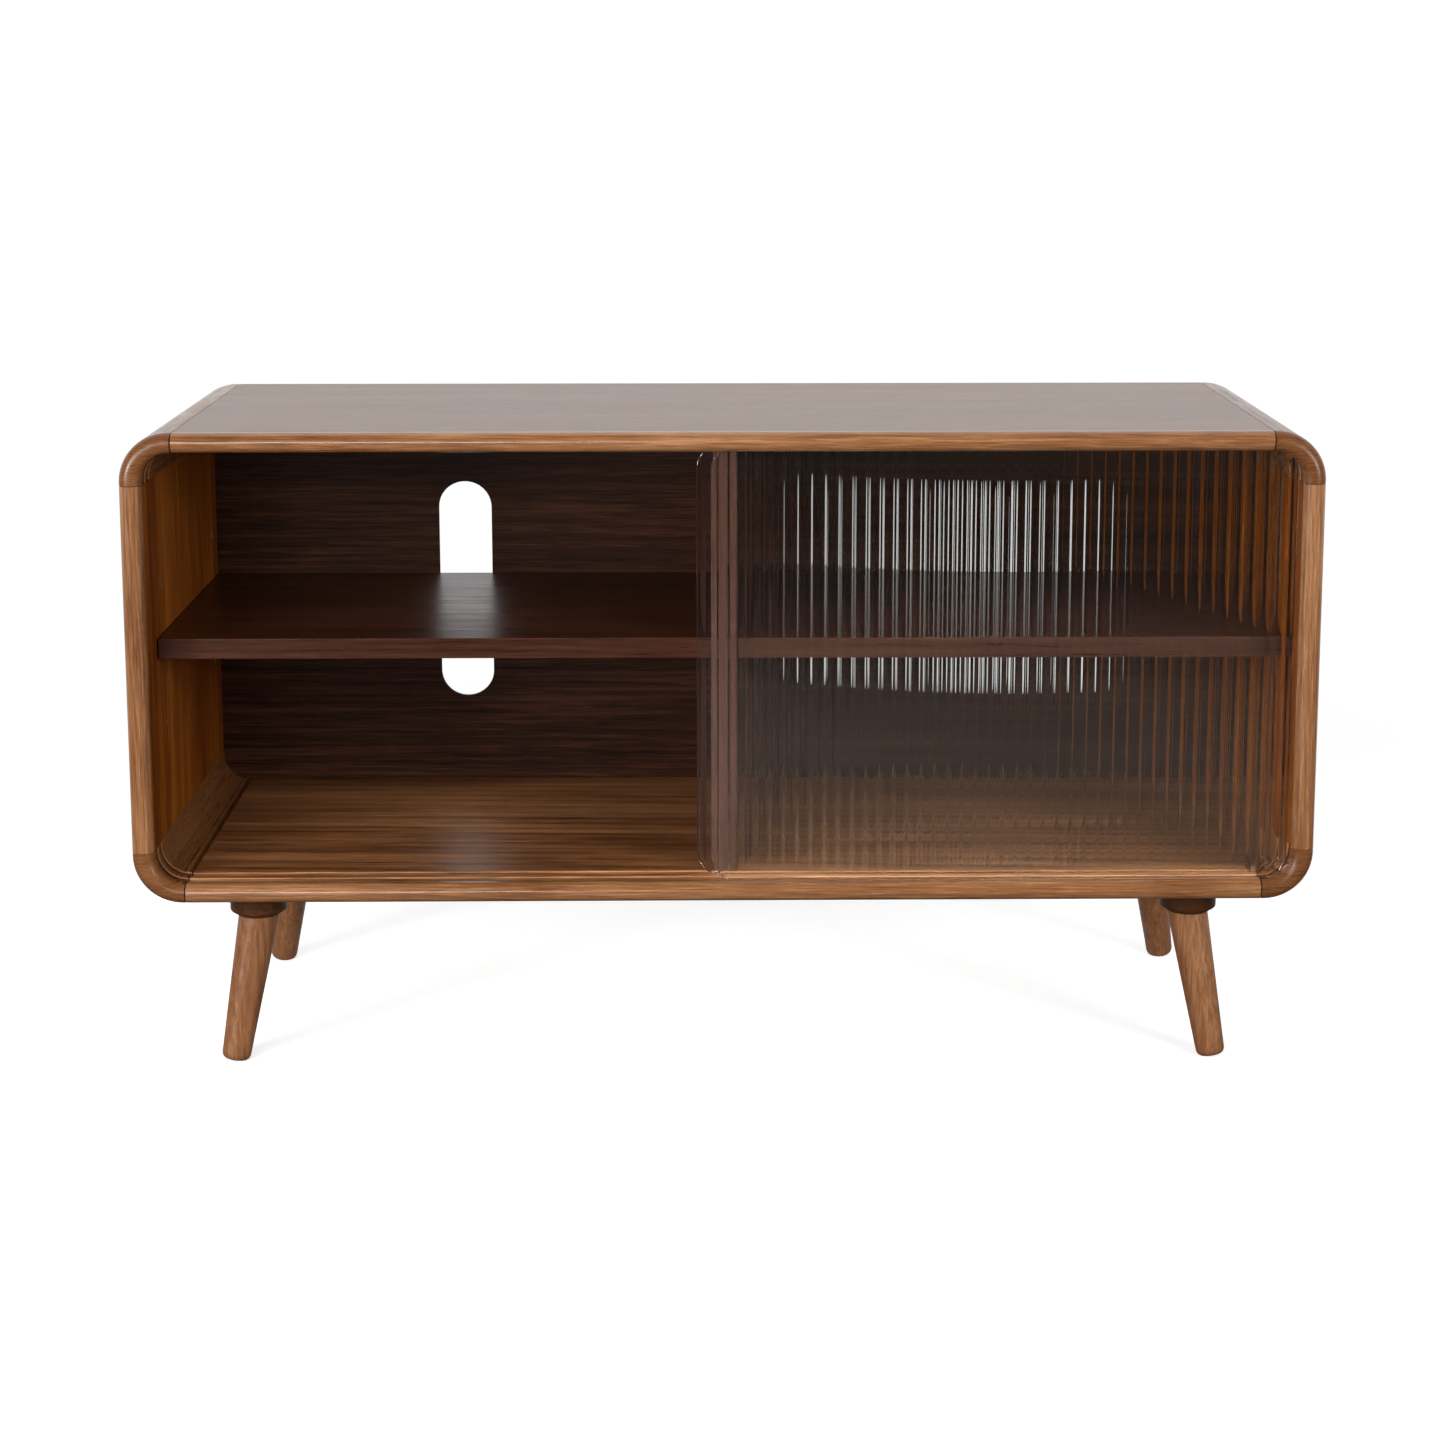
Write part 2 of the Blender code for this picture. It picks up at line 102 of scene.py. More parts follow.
# ---- shader helpers ----------------------------------------------------------------------
class Graph:
    """Small wrapper that makes and links the shader nodes of a material or a world."""

    def __init__(self, owner):
        owner.use_nodes = True
        self.mat = owner
        self.tree = owner.node_tree
        self.shader = self.tree.nodes.get("Principled BSDF")

    def add(self, kind, inputs=None, **settings):
        node = self.tree.nodes.new(kind)
        for key, value in settings.items():
            setattr(node, key, value)
        for key, value in (inputs or {}).items():
            self.put(node.inputs[key], value)
        return node

    def put(self, socket, value):
        if isinstance(value, bpy.types.NodeSocket):
            self.tree.links.new(value, socket)
        else:
            socket.default_value = value

    def set(self, **values):
        for key, value in values.items():
            self.put(self.shader.inputs[key.replace("_", " ")], value)

    def math(self, op, a, b=0.0):
        return self.add("ShaderNodeMath", {0: a, 1: b}, operation=op).outputs[0]

    def mix(self, fac, a, b, blend="MIX"):
        return self.add("ShaderNodeMix", {0: fac, 6: a, 7: b}, data_type="RGBA",
                        blend_type=blend).outputs[2]

    def coordinate(self, kind="Object", axis=None):
        place = self.add("ShaderNodeTexCoord").outputs[kind]
        if axis is None:
            return place
        return self.add("ShaderNodeSeparateXYZ", {0: place}).outputs[axis]

    def ray_is(self, kind):
        return self.add("ShaderNodeLightPath").outputs[f"Is {kind} Ray"]

    def ramp(self, fac, stops, interpolation="LINEAR"):
        node = self.add("ShaderNodeValToRGB")
        self.put(node.inputs[0], fac)
        ramp = node.color_ramp
        ramp.interpolation = interpolation
        while len(ramp.elements) < len(stops):
            ramp.elements.new(0.5)
        for element, (at, value) in zip(ramp.elements, stops):
            element.position = at
            if not hasattr(value, "__len__"):
                value = (value, value, value)
            element.color = (*value, 1.0)
        return node.outputs[0]

    def noise(self, vector, scale, detail=4.0, rough=0.55, distort=0.0):
        node = self.add("ShaderNodeTexNoise", {"Vector": vector, "Scale": scale,
                        "Detail": detail, "Roughness": rough, "Distortion": distort})
        return node.outputs[0]


def material(name):
    return Graph(bpy.data.materials.new(name))


def wood(name, axis, dark, mid, light, shift=0.0, period=0.007, wander=7.0, lines=0.45,
         bands="DIAGONAL", figure=0.35, length=0.9, fibres=0.45, rough=0.36, bump=0.10,
         pores=0.3, specular=0.5, seam=None, tilt=(0, 0, 0), squash=1.0, streaks=0.9,
         outer=None):
    """Lacquered wood whose fibres run along one axis of the part.

    period is the spacing of the growth lines, wander how far they stray from straight, and
    squash below 1 draws end grain out along X. A finish line darkens the joints at X = seam
    and X = -seam, and outer tints the outside of a side board.
    """
    g = material(name)
    place = g.add("ShaderNodeMapping", {"Vector": g.coordinate(), "Rotation": tilt,
                  "Location": (shift, shift * 1.7, -shift)}).outputs[0]

    def stretched(along, across):
        x, y, z = (along if letter == axis else across for letter in "XYZ")
        return g.add("ShaderNodeMapping", {"Vector": place,
                     "Scale": (x * squash, y, z)}).outputs[0]

    scale = 2 * pi / (10 * period)
    growth = g.add("ShaderNodeTexWave", {"Vector": stretched(0.05, 1.0), "Scale": scale,
                   "Distortion": wander, "Detail": 2.0, "Detail Scale": 0.16,
                   "Detail Roughness": 0.55}, wave_type="BANDS",
                   bands_direction=bands, wave_profile="SAW").outputs["Fac"]
    growth = g.ramp(growth, [(0.0, 0.62), (0.45, 0.60), (0.80, 0.30), (0.93, 0.0), (1.0, 0.55)])
    broad = g.noise(stretched(length, 14.0), 1.0, 4.0, 0.6, 0.6)
    streak = g.noise(stretched(3.0, 170.0), 1.0, 5.0, 0.65, 0.2)
    fibre = g.noise(stretched(20.0, 520.0), 1.0, 3.0, 0.65)
    pore = g.noise(stretched(60.0, 1900.0), 1.0, 2.0, 0.5)

    def part_of(value, share):
        return g.math("MULTIPLY", g.math("SUBTRACT", value, 0.5), share)

    tone = g.math("ADD", part_of(broad, 1.6 * figure), 0.5)
    tone = g.math("ADD", tone, part_of(growth, lines))
    tone = g.math("ADD", tone, part_of(streak, streaks))
    tone = g.math("ADD", tone, part_of(fibre, fibres))
    color = g.ramp(tone, [(0.28, dark), (0.50, mid), (0.70, light)])
    speck = g.ramp(pore, [(0.30, 0.35), (0.42, 1.0)])
    color = g.mix(pores, color, g.mix(1.0, color, speck, "MULTIPLY"))
    if seam:
        off = g.math("SUBTRACT", g.math("ABSOLUTE", g.coordinate(axis="X")), seam)
        near = g.math("ABSOLUTE", off)
        line = g.ramp(g.math("MULTIPLY", near, 400.0), [(0.0, 0.12), (0.16, 0.22), (0.34, 1.0)])
        color = g.mix(1.0, color, line, "MULTIPLY")
    if outer:
        aside = g.math("ABSOLUTE", g.coordinate(axis="X"))
        outside = g.math("GREATER_THAN", aside, X_IN + T_SIDE / 2)
        color = g.mix(outside, color, g.mix(1.0, color, (*outer, 1.0), "MULTIPLY"))
    # tone attribute: lighter worn arrises of the laminate boards, and painted highlight and
    # painted shade at the door grooves
    wear_and_painted_light = g.add("ShaderNodeAttribute", attribute_name="tone").outputs["Fac"]
    wear_and_painted_light = g.math("ADD", wear_and_painted_light, 1.0)
    wear_and_painted_light = g.add("ShaderNodeCombineXYZ", {0: wear_and_painted_light, 1: wear_and_painted_light, 2: wear_and_painted_light}).outputs[0]
    color = g.mix(1.0, color, wear_and_painted_light, "MULTIPLY")
    roughness = g.math("ADD", part_of(streak, 0.30), part_of(fibre, 0.34))
    roughness = g.math("ADD", roughness, rough)
    height = g.math("ADD", g.math("MULTIPLY", speck, 0.5), g.math("MULTIPLY", fibre, 0.5))
    normal = g.add("ShaderNodeBump", {"Strength": bump, "Distance": 0.0004, "Height": height})
    g.set(Base_Color=color, Roughness=roughness, Normal=normal.outputs[0],
          Specular_IOR_Level=specular)
    return g.mat


VENEER = dict(dark=(0.055, 0.018, 0.005), mid=(0.160, 0.064, 0.024), light=(0.300, 0.137, 0.058))
SOLID = dict(dark=(0.143, 0.050, 0.016), mid=(0.287, 0.120, 0.045), light=(0.422, 0.203, 0.087))
LAMINATE = dict(dark=(0.010, 0.0030, 0.0012), mid=(0.033, 0.0105, 0.0045),
                light=(0.070, 0.026, 0.012))

M = {
    "veneer_top": wood("veneer_top_board", "X", **VENEER, rough=0.36, seam=X_JOINT,
                       lines=0.35, figure=0.25, fibres=0.9, bump=0.4, specular=0.74),
    "veneer_floor": wood("veneer_bottom_board", "X", dark=(0.100, 0.034, 0.010),
                         mid=(0.285, 0.113, 0.040), light=(0.480, 0.220, 0.090), shift=3.1,
                         rough=0.38, period=0.021, wander=11.0, lines=0.25, figure=0.5,
                         length=1.6, streaks=0.6, fibres=0.6),
    "veneer_side": wood("veneer_side_board", "Z", dark=(0.095, 0.020, 0.0015),
                        mid=(0.205, 0.052, 0.005), light=(0.330, 0.103, 0.013), shift=1.3,
                        rough=0.45, period=0.013, lines=0.35, figure=0.6, fibres=0.6,
                        specular=0.12, outer=(0.80, 1.25, 4.2)),
    "solid_x": wood("solid_lipping_long", "X", **SOLID, shift=5.7, rough=0.23, specular=1.0,
                    figure=0.35, length=3.5, period=0.006, lines=0.12, streaks=0.45,
                    fibres=0.7, seam=X_JOINT),
    "solid_z": wood("solid_lipping_upright", "Z", **SOLID, shift=8.3, rough=0.24, specular=1.0,
                    figure=0.3, length=2.5, period=0.005, lines=0.12, fibres=0.7, streaks=0.5),
    "solid_corner": wood("solid_corner_block", "Y", dark=(0.058, 0.016, 0.004),
                         mid=(0.180, 0.063, 0.018), light=(0.300, 0.125, 0.045), shift=2.9,
                         rough=0.30, figure=0.20, length=3.0, period=0.0029, wander=0.8,
                         lines=0.75, bands="Z", tilt=(0.0, 0.07, 0.0), squash=0.12,
                         streaks=0.25, fibres=0.3, pores=0.1, seam=X_JOINT),
    "laminate_back": wood("dark_laminate_back", "X", **LAMINATE, shift=7.7, rough=0.50,
                          period=0.013, lines=0.12, figure=0.4, length=2.0, pores=0.4,
                          fibres=0.7, specular=0.15),
    "laminate_shelf": wood("dark_laminate_shelf", "X", dark=(0.026, 0.0075, 0.0032),
                           mid=(0.053, 0.0160, 0.0076), light=(0.082, 0.028, 0.014), shift=4.4,
                           rough=0.34, lines=0.1, figure=0.3, specular=0.34, streaks=0.7),
    "laminate_z": wood("dark_laminate_upright", "Z", dark=(0.040, 0.013, 0.0075),
                       mid=(0.068, 0.0235, 0.0145), light=(0.100, 0.038, 0.025), shift=9.1,
                       rough=0.45, lines=0.15, specular=0.25, streaks=0.5),
    "leg": wood("leg_wood", "Z", dark=(0.160, 0.059, 0.020), mid=(0.252, 0.101, 0.039),
                light=(0.385, 0.176, 0.077), shift=6.2, rough=0.38, figure=0.35, length=5.0,
                period=0.009, lines=0.08, streaks=0.4, fibres=0.8, pores=0.6, specular=0.5),
    "collar": wood("collar_wood", "X", dark=(0.050, 0.018, 0.005), mid=(0.062, 0.022, 0.008),
                   light=(0.120, 0.047, 0.017), shift=2.2, rough=0.42, figure=0.4, lines=0.1,
                   streaks=0.5, specular=0.2),
}


def make_glass():
    """Clear glass; rays from the lamps pass straight through to light what is behind."""
    g = material("fluted_clear_glass")
    wobble = g.noise(g.coordinate(), 7.0, 1.0, 0.4)
    normal = g.add("ShaderNodeBump", {"Strength": 0.02, "Distance": 0.001, "Height": wobble})
    g.set(Base_Color=(0.955, 0.965, 0.955, 1.0), Roughness=0.0, IOR=1.50,
          Normal=normal.outputs[0], Transmission_Weight=1.0)
    clear = g.add("ShaderNodeBsdfTransparent", {"Color": (0.90, 0.91, 0.90, 1.0)})
    both = g.add("ShaderNodeMixShader", {0: g.ray_is("Shadow"), 1: g.shader.outputs[0],
                 2: clear.outputs[0]})
    g.tree.links.new(both.outputs[0], g.tree.nodes["Material Output"].inputs[0])
    return g.mat


def make_metal(name, low, high, rough, metallic=1.0):
    g = material(name)
    grain = g.noise(g.coordinate(), 1800.0, 2.0, 0.6)
    g.set(Base_Color=g.ramp(grain, [(0.3, low), (0.7, high)]),
          Roughness=g.math("ADD", g.math("MULTIPLY", grain, 0.2), rough - 0.1),
          Metallic=metallic)
    return g.mat


M["glass"] = make_glass()
M["steel"] = make_metal("plated_steel", (0.50, 0.48, 0.45), (0.72, 0.70, 0.66), 0.28)
M["bronze"] = make_metal("bronzed_socket", (0.22, 0.11, 0.035), (0.34, 0.18, 0.07), 0.22, 0.35)


# ---- mesh helpers ------------------------------------------------------------------------
def finish_mesh(name, bm, mat, body, nodes, smooth=35.0):
    bmesh.ops.recalc_face_normals(bm, faces=bm.faces)
    mesh = bpy.data.meshes.new(name)
    bm.to_mesh(mesh)
    bm.free()
    mesh.polygons.foreach_set("use_smooth", [True] * len(mesh.polygons))
    mesh.set_sharp_from_angle(angle=radians(smooth))
    mesh.materials.append(mat)
    obj = bpy.data.objects.new(name, mesh)
    bpy.context.scene.collection.objects.link(obj)
    weighted = obj.modifiers.new("flat_faces_stay_flat", "WEIGHTED_NORMAL")
    weighted.weight = 90
    weighted.keep_sharp = True
    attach(obj, body)
    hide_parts(*nodes)
    return obj


def skin(bm, rings, tones=None):
    """Quads over closed rings of points, with a cap at each end.

    tones lightens or darkens the colour at each ring point, which paints highlight and shade at
    the door grooves.
    """
    layer = bm.verts.layers.float.new("tone")
    made = [[bm.verts.new(p) for p in ring] for ring in rings]
    n = len(rings[0])
    if tones:
        for ring in made:
            for v, tone in zip(ring, tones):
                v[layer] = tone
    for a, b in zip(made, made[1:]):
        for i in range(n):
            j = (i + 1) % n
            bm.faces.new((a[i], a[j], b[j], b[i]))
    bm.faces.new(made[0])
    bm.faces.new(made[-1])


def loft(name, rings, mat, nodes, smooth, body=BODY, tones=None):
    bm = bmesh.new()
    skin(bm, rings, tones)
    return finish_mesh(name, bm, mat, body, nodes, smooth)


def turned(profile, start, axis, segments=64):
    """Rings of a turned piece from (distance along the axis, radius)."""
    axis = Vector(axis).normalized()
    side = axis.orthogonal().normalized()
    other = axis.cross(side)
    rings = []
    for along, radius in profile:
        centre = Vector(start) + axis * along
        rings.append([centre + (side * cos(a) + other * sin(a)) * radius
                      for a in (2 * pi * i / segments for i in range(segments))])
    return rings


def arc(cx, cy, r, a0, a1, steps):
    """Points on an arc, angles in degrees."""
    return [(cx + r * cos(radians(a0 + (a1 - a0) * i / steps)),
             cy + r * sin(radians(a0 + (a1 - a0) * i / steps))) for i in range(steps + 1)]


# ---- edge profiles: (distance outwards from the inner face, y) ---------------------------
def half_round(t, steps=24):
    angles = [pi * i / steps for i in range(steps + 1)]
    return [(t / 2 - t / 2 * cos(a), FRONT + NOSE - NOSE * sin(a)) for a in angles]


def rear_edge(t):
    """Rounded outer edge, then the rebate that the back panel lies in."""
    return (arc(t - REAR_R, BACK - REAR_R, REAR_R, 0, 90, 8)
            + [(REBATE_W + EASE, BACK), (REBATE_W, BACK - EASE), (REBATE_W, BACK - REBATE_D),
               (EASE, BACK - REBATE_D), (0.0, BACK - REBATE_D - EASE)])


def grooves(deep):
    """Both door grooves, rear one first, with rounded lips and bottoms."""
    e = EASE * 1.6
    points = []
    for centre in (GROOVE_REAR, GROOVE_FRONT):
        near, far = centre - GROOVE_W / 2, centre + GROOVE_W / 2
        points += [(0.0, far + e * 1.3), (0.0, far + e), (e * 0.3, far + e * 0.3), (e, far),
                   (e * 1.3, far), (deep - 0.001, far), (deep, far - 0.001),
                   (deep, near + 0.001), (deep - 0.001, near), (e * 1.3, near), (e, near),
                   (e * 0.3, near - e * 0.3), (0.0, near - e), (0.0, near - e * 1.3)]
    return points


def inset(profile, amount):
    """Profile shrunk a little towards its middle line, for an eased end."""
    points = []
    n = len(profile)
    for i in range(n):
        a, b, c = (Vector(profile[(i + k) % n]) for k in (-1, 0, 1))
        n1, n2 = (Vector((-d.y, d.x)).normalized() for d in (b - a, c - b))
        way = (n1 + n2).normalized()
        points.append(tuple(b + way * (amount / max(0.5, way.dot(n1)))))
    return points


def oriented(profile):
    """Counter-clockwise, so that inset() goes inwards."""
    area = sum(a[0] * b[1] - b[0] * a[1] for a, b in zip(profile, profile[1:] + profile[:1]))
    return profile if area > 0 else profile[::-1]


def painted_groove_light(profile):
    """Painted highlight on the lips of the door grooves, and painted shade in their bottoms."""
    tones = []
    for d, y in profile:
        off = min(abs(y - centre) for centre in (GROOVE_REAR, GROOVE_FRONT))
        # the lips get a painted highlight, the groove bottoms painted shade
        lip = abs(off - GROOVE_W / 2) < 2 * EASE and d < 2 * EASE
        inside = off < GROOVE_W / 2 + 1e-5 and 2 * EASE < d < DEEP_TOP + 2 * EASE
        tones.append(PAINTED_LIP_HIGHLIGHT if lip else PAINTED_GROOVE_SHADE if inside else 0.0)
    return tones


def stations(a, b):
    """(position, inset) along a straight piece with sanded ends."""
    return [(a, EASE), (a + EASE * 0.35, EASE * 0.35), (a + EASE, 0.0),
            (b - EASE, 0.0), (b - EASE * 0.35, EASE * 0.35), (b, EASE)]


def long_board(name, profile, z_face, up, mat, nodes):
    profile = oriented(profile)
    half = X_JOINT - JOINT_GAP
    rings = [[(x, y, z_face + up * d) for d, y in inset(profile, e)]
             for x, e in stations(-half, half)]
    # door grooves get a painted highlight on their lips and painted shade in their bottoms
    return loft(name, rings, mat, nodes, smooth=40, tones=painted_groove_light(profile))


def side_board(name, profile, side, mat, nodes):
    profile = oriented(profile)
    low, high = Z_BOT + CORNER + SIDE_GAP, Z_TOP - CORNER - SIDE_GAP
    rings = [[(side * (X_IN + d), y, z) for d, y in inset(profile, e)]
             for z, e in stations(low, high)]
    return loft(name, rings, mat, nodes, smooth=40)


def board_profile(t, deep=None):
    """Section of a board behind its lipping, with door grooves if deep is given."""
    start = FRONT + LIPPING + GLUE_GAP
    return [(0.0, start), (t, start)] + rear_edge(t) + (grooves(deep) if deep else [])


def lipping_profile(t):
    end = FRONT + LIPPING - GLUE_GAP
    return half_round(t) + [(t, end), (0.0, end)]


# ---- top, bottom, sides, corner blocks ---------------------------------------------------
long_board("top_board", board_profile(T_BOARD, DEEP_TOP), Z_CEIL, 1, M["veneer_top"],
           ["top_panel"])
long_board("bottom_board", board_profile(T_BOARD, DEEP_BOT), Z_FLOOR, -1, M["veneer_floor"],
           ["bottom_panel"])
long_board("top_half_round", lipping_profile(T_BOARD), Z_CEIL, 1, M["solid_x"],
           ["top_front_lipping"])
long_board("bottom_half_round", lipping_profile(T_BOARD), Z_FLOOR, -1, M["solid_x"],
           ["bottom_front_lipping"])
for side, word in ((-1, "left"), (1, "right")):
    side_board(f"{word}_side_board", board_profile(T_SIDE), side, M["veneer_side"],
               [f"{word}_side_panel"])
    side_board(f"{word}_half_round", lipping_profile(T_SIDE), side, M["solid_z"],
               [f"{word}_front_lipping"])


def corner_path(steps=24):
    """(inner point, outer point, inset) from the side board round to the long board.

    Points are (distance from the middle, distance from the outer face of the long board).
    """
    inner_mid = Vector((X_IN - PROUD_X - R_IN, T_BOARD + PROUD_Z + R_IN))
    outer_mid = Vector((WIDTH / 2 - R_OUT, R_OUT))
    path = []
    for e in (EASE, EASE * 0.35, 0.0):
        z = CORNER - SIDE_GAP - (EASE - e)
        path.append((Vector((X_IN - PROUD_X, z)), Vector((WIDTH / 2, z)), e))
    for i in range(steps + 1):
        a = pi / 2 * i / steps
        way = Vector((cos(a), -sin(a)))
        path.append((inner_mid + way * R_IN, outer_mid + way * R_OUT, 0.0))
    for e in (0.0, EASE * 0.35, EASE):
        x = X_JOINT + JOINT_GAP + (EASE - e)
        path.append((Vector((x, T_BOARD + PROUD_Z)), Vector((x, 0.0)), e))
    return path


def corner_block(name, side, up, mat, nodes):
    deep = (DEEP_TOP if up > 0 else DEEP_BOT) + PROUD_Z
    z_outer = Z_TOP if up > 0 else Z_BOT
    rings = []
    for inner, outer, e in corner_path():
        out = outer - inner
        t = out.length
        profile = oriented(half_round(t) + rear_edge(t) + grooves(deep))
        # painted highlight on the groove lips and painted shade in the groove bottoms
        tones = painted_groove_light(profile)
        points = [(inner + out * (d / t), y) for d, y in inset(profile, e)]
        rings.append([(side * point.x, y, z_outer - up * point.y) for point, y in points])
    return loft(name, rings, mat, nodes, smooth=40, tones=tones)


for up, level in ((1, "top"), (-1, "bottom")):
    for side, word in ((-1, "left"), (1, "right")):
        corner_block(f"{level}_{word}_corner", side, up, M["solid_corner"],
                     [f"corner_block_{level}_{word}"])


# ---- back panel with two cable slots -----------------------------------------------------
def rounded_rect(half_w, half_h, radius, steps):
    points = []
    for sx, sz, turn in ((1, 1, 0), (-1, 1, 90), (-1, -1, 180), (1, -1, 270)):
        points += arc(sx * (half_w - radius), sz * (half_h - radius), radius,
                      turn, turn + 90, steps)
    return points


def back_board():
    edge = REBATE_W - 0.0003             # the panel stops just short of the rebate's wall
    mid = Z_BOT + BODY_H / 2
    outer = rounded_rect(X_IN - PROUD_X + edge, BODY_H / 2 - T_BOARD - PROUD_Z + edge,
                         BACK_CORNER, 10)
    slot = rounded_rect(SLOT_W / 2, (SLOT_HIGH - SLOT_LOW) / 2, SLOT_W / 2 - 0.0001, 16)
    rise = (SLOT_LOW + SLOT_HIGH) / 2 - mid
    loops = [outer] + [[(side * SLOT_X + x, rise + z) for x, z in slot[::-1]]
                       for side in (-1, 1)]
    bm = bmesh.new()
    faces = []
    front = BACK - REBATE_D + 0.0002
    for y in (front, front + BACK_T):
        made = [bm.verts.new((x, y, mid + z)) for loop in loops for x, z in loop]
        flat = [[Vector((x, z, 0)) for x, z in loop] for loop in loops]
        for corners in tessellate_polygon(flat):
            bm.faces.new([made[i] for i in corners])
        faces.append(made)
    start = 0
    for loop in loops:
        n = len(loop)
        for i in range(n):
            a, b = start + i, start + (i + 1) % n
            bm.faces.new((faces[0][a], faces[0][b], faces[1][b], faces[1][a]))
        start += n
    return finish_mesh("back_board", bm, M["laminate_back"], BODY, ["back_panel"])


back_board()


# ---- divider and shelves -----------------------------------------------------------------
def laminate_board(name, node, mat, ease=0.0008):
    """Board with rounded arrises, where the laminate is worn a little lighter."""
    low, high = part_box(node)
    bm = bmesh.new()
    bmesh.ops.create_cube(bm, size=1.0)
    for v in bm.verts:
        v.co = Vector([(a + b) / 2 + c * (b - a) for a, b, c in zip(low, high, v.co)])
    bmesh.ops.bevel(bm, geom=bm.edges[:], offset=ease, segments=3, profile=0.5,
                    affect="EDGES", clamp_overlap=True)
    layer = bm.verts.layers.float.new("tone")
    for v in bm.verts:
        off = min(min(abs(c - a), abs(c - b)) for a, b, c in zip(low, high, v.co))
        v[layer] = 0.6 if off > 1e-6 else 0.0
    return finish_mesh(name, bm, mat, BODY, [node], smooth=50)


laminate_board("middle_divider", "centre_divider", M["laminate_z"])
laminate_board("left_shelf_board", "left_shelf", M["laminate_shelf"])
laminate_board("right_shelf_board", "right_shelf", M["laminate_shelf"])


# ---- legs and collars --------------------------------------------------------------------
def trim(bm, z, keep_above):
    bmesh.ops.bisect_plane(bm, geom=bm.verts[:] + bm.edges[:] + bm.faces[:], dist=1e-7,
                           plane_co=(0, 0, z), plane_no=(0, 0, 1),
                           clear_inner=keep_above, clear_outer=not keep_above)
    bmesh.ops.edgeloop_fill(bm, edges=[e for e in bm.edges if e.is_boundary])


def leg(name, node, at_body, at_floor, steps=12, lift=0.0009):
    """Tapered and round-footed along its splayed axis, cut flat where the collar ends.

    The axis ends lift above the floor, and the tilted foot reaches it with its edge.
    """
    axis = (at_floor - at_body).normalized()
    full = (at_floor - at_body).length - lift / -axis.z
    begin, end = COLLAR_H * 0.6, full - LEG_ROUND
    profile = [(begin, LEG_R_TOP + (LEG_R_TOP - LEG_R_FOOT) * 0.06)]
    for i in range(1, steps + 1):
        along = begin + (end - begin) * i / steps
        profile.append((along, LEG_R_TOP + (LEG_R_FOOT - LEG_R_TOP) * along / full))
    profile += arc(end, LEG_R_FOOT - LEG_ROUND, LEG_ROUND, 90, 0, steps)[1:]
    bm = bmesh.new()
    skin(bm, turned(profile, at_body, axis))
    trim(bm, Z_BOT - COLLAR_H - 0.0002, False)
    trim(bm, 0.0, True)
    finish_mesh(name, bm, M["leg"], BODY, [node], smooth=50)


def collar(name, node, at_body, at_floor):
    """Short upright disc with a chamfered lower edge, centred on the leg where it comes out."""
    axis = (at_floor - at_body).normalized()
    centre = at_body + axis * (COLLAR_H / -axis.z)
    centre.z = Z_BOT - 0.0001
    profile = [(0.0, COLLAR_R - 0.0004), (0.0004, COLLAR_R), (COLLAR_H - 0.0062, COLLAR_R),
               (COLLAR_H - 0.0053, COLLAR_R - 0.0002), (COLLAR_H - 0.0046, COLLAR_R - 0.0008),
               (COLLAR_H - 0.0010, COLLAR_R - 0.0059), (COLLAR_H - 0.0005, COLLAR_R - 0.0064),
               (COLLAR_H - 0.0001, COLLAR_R - 0.0070)]
    loft(name, turned(profile, centre, (0, 0, -1)), M["collar"], [node],
         smooth=50)


for side, word in ((-1, "left"), (1, "right")):
    for depth, row in ((-1, "front"), (1, "rear")):
        at_body = Vector((side * LEG_TOP[0], depth * LEG_TOP[1], Z_BOT))
        at_floor = Vector((side * LEG_FOOT[0], depth * LEG_FOOT[1], 0.0))
        leg(f"{row}_{word}_leg", f"leg_{row}_{word}", at_body, at_floor)
        collar(f"{row}_{word}_collar", f"leg_collar_{row}_{word}", at_body, at_floor)


# ---- fluted glass doors ------------------------------------------------------------------
def hollow(share, soft=0.15):
    """How deep the glass is hollowed, share of the way across a flute.

    The ridges between flutes are fire-polished round, and take up soft of each half flute.
    """
    off = abs(2 * (share % 1.0) - 1)
    if off < 1 - soft:
        return FLUTE_DEEP * (1 - off * off / (1 - soft))
    return FLUTE_DEEP * (1 - off) ** 2 / soft


def door_rim(near, half, edge):
    """(rise, half thickness) across the polished edge, near metres from the upright edge."""
    rim = []
    for share in (0.0, 0.06, 0.22, 0.5, 1.0):
        d = min(edge, near) * share
        rise = d
        if near < DOOR_R:
            rise = DOOR_R - sqrt(max(0.0, (DOOR_R - d) ** 2 - (DOOR_R - near) ** 2))
        rim.append((rise, sqrt(max(0.0, 1 - (1 - d / edge) ** 2)) * half))
    return rim


def door(name, node, body, start, steps=20, edge=0.0019):
    """Hollow flutes on the front face, smooth back, and a polished edge all round.

    start is the share of a flute lost at the left edge of the sheet.
    """
    a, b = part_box(node)
    width = b.x - a.x
    pitch = width / FLUTES
    columns = [0.00004, 0.0002, 0.0005, 0.0009, 0.0014]     # they round the upright edges
    marks = [pitch * (i / steps - start) for i in range((FLUTES + 1) * steps)]
    xs = columns + [x for x in marks if edge <= x <= width - edge]
    xs += [width - x for x in reversed(columns)]
    rings = []
    for x in xs:
        front, back = a.y + hollow(x / pitch + start), b.y
        middle = (front + back) / 2
        rim = door_rim(min(x, width - x), (back - front) / 2, edge)
        ring = [(a.x + x, middle - thin, a.z + rise) for rise, thin in rim]
        ring += [(a.x + x, middle - thin, b.z - rise) for rise, thin in reversed(rim)]
        ring += [(a.x + x, middle + thin, b.z - rise) for rise, thin in rim[1:]]
        ring += [(a.x + x, middle + thin, a.z + rise) for rise, thin in reversed(rim[1:])]
        rings.append(ring)
    return loft(name, rings, M["glass"], [node], smooth=60, body=body)


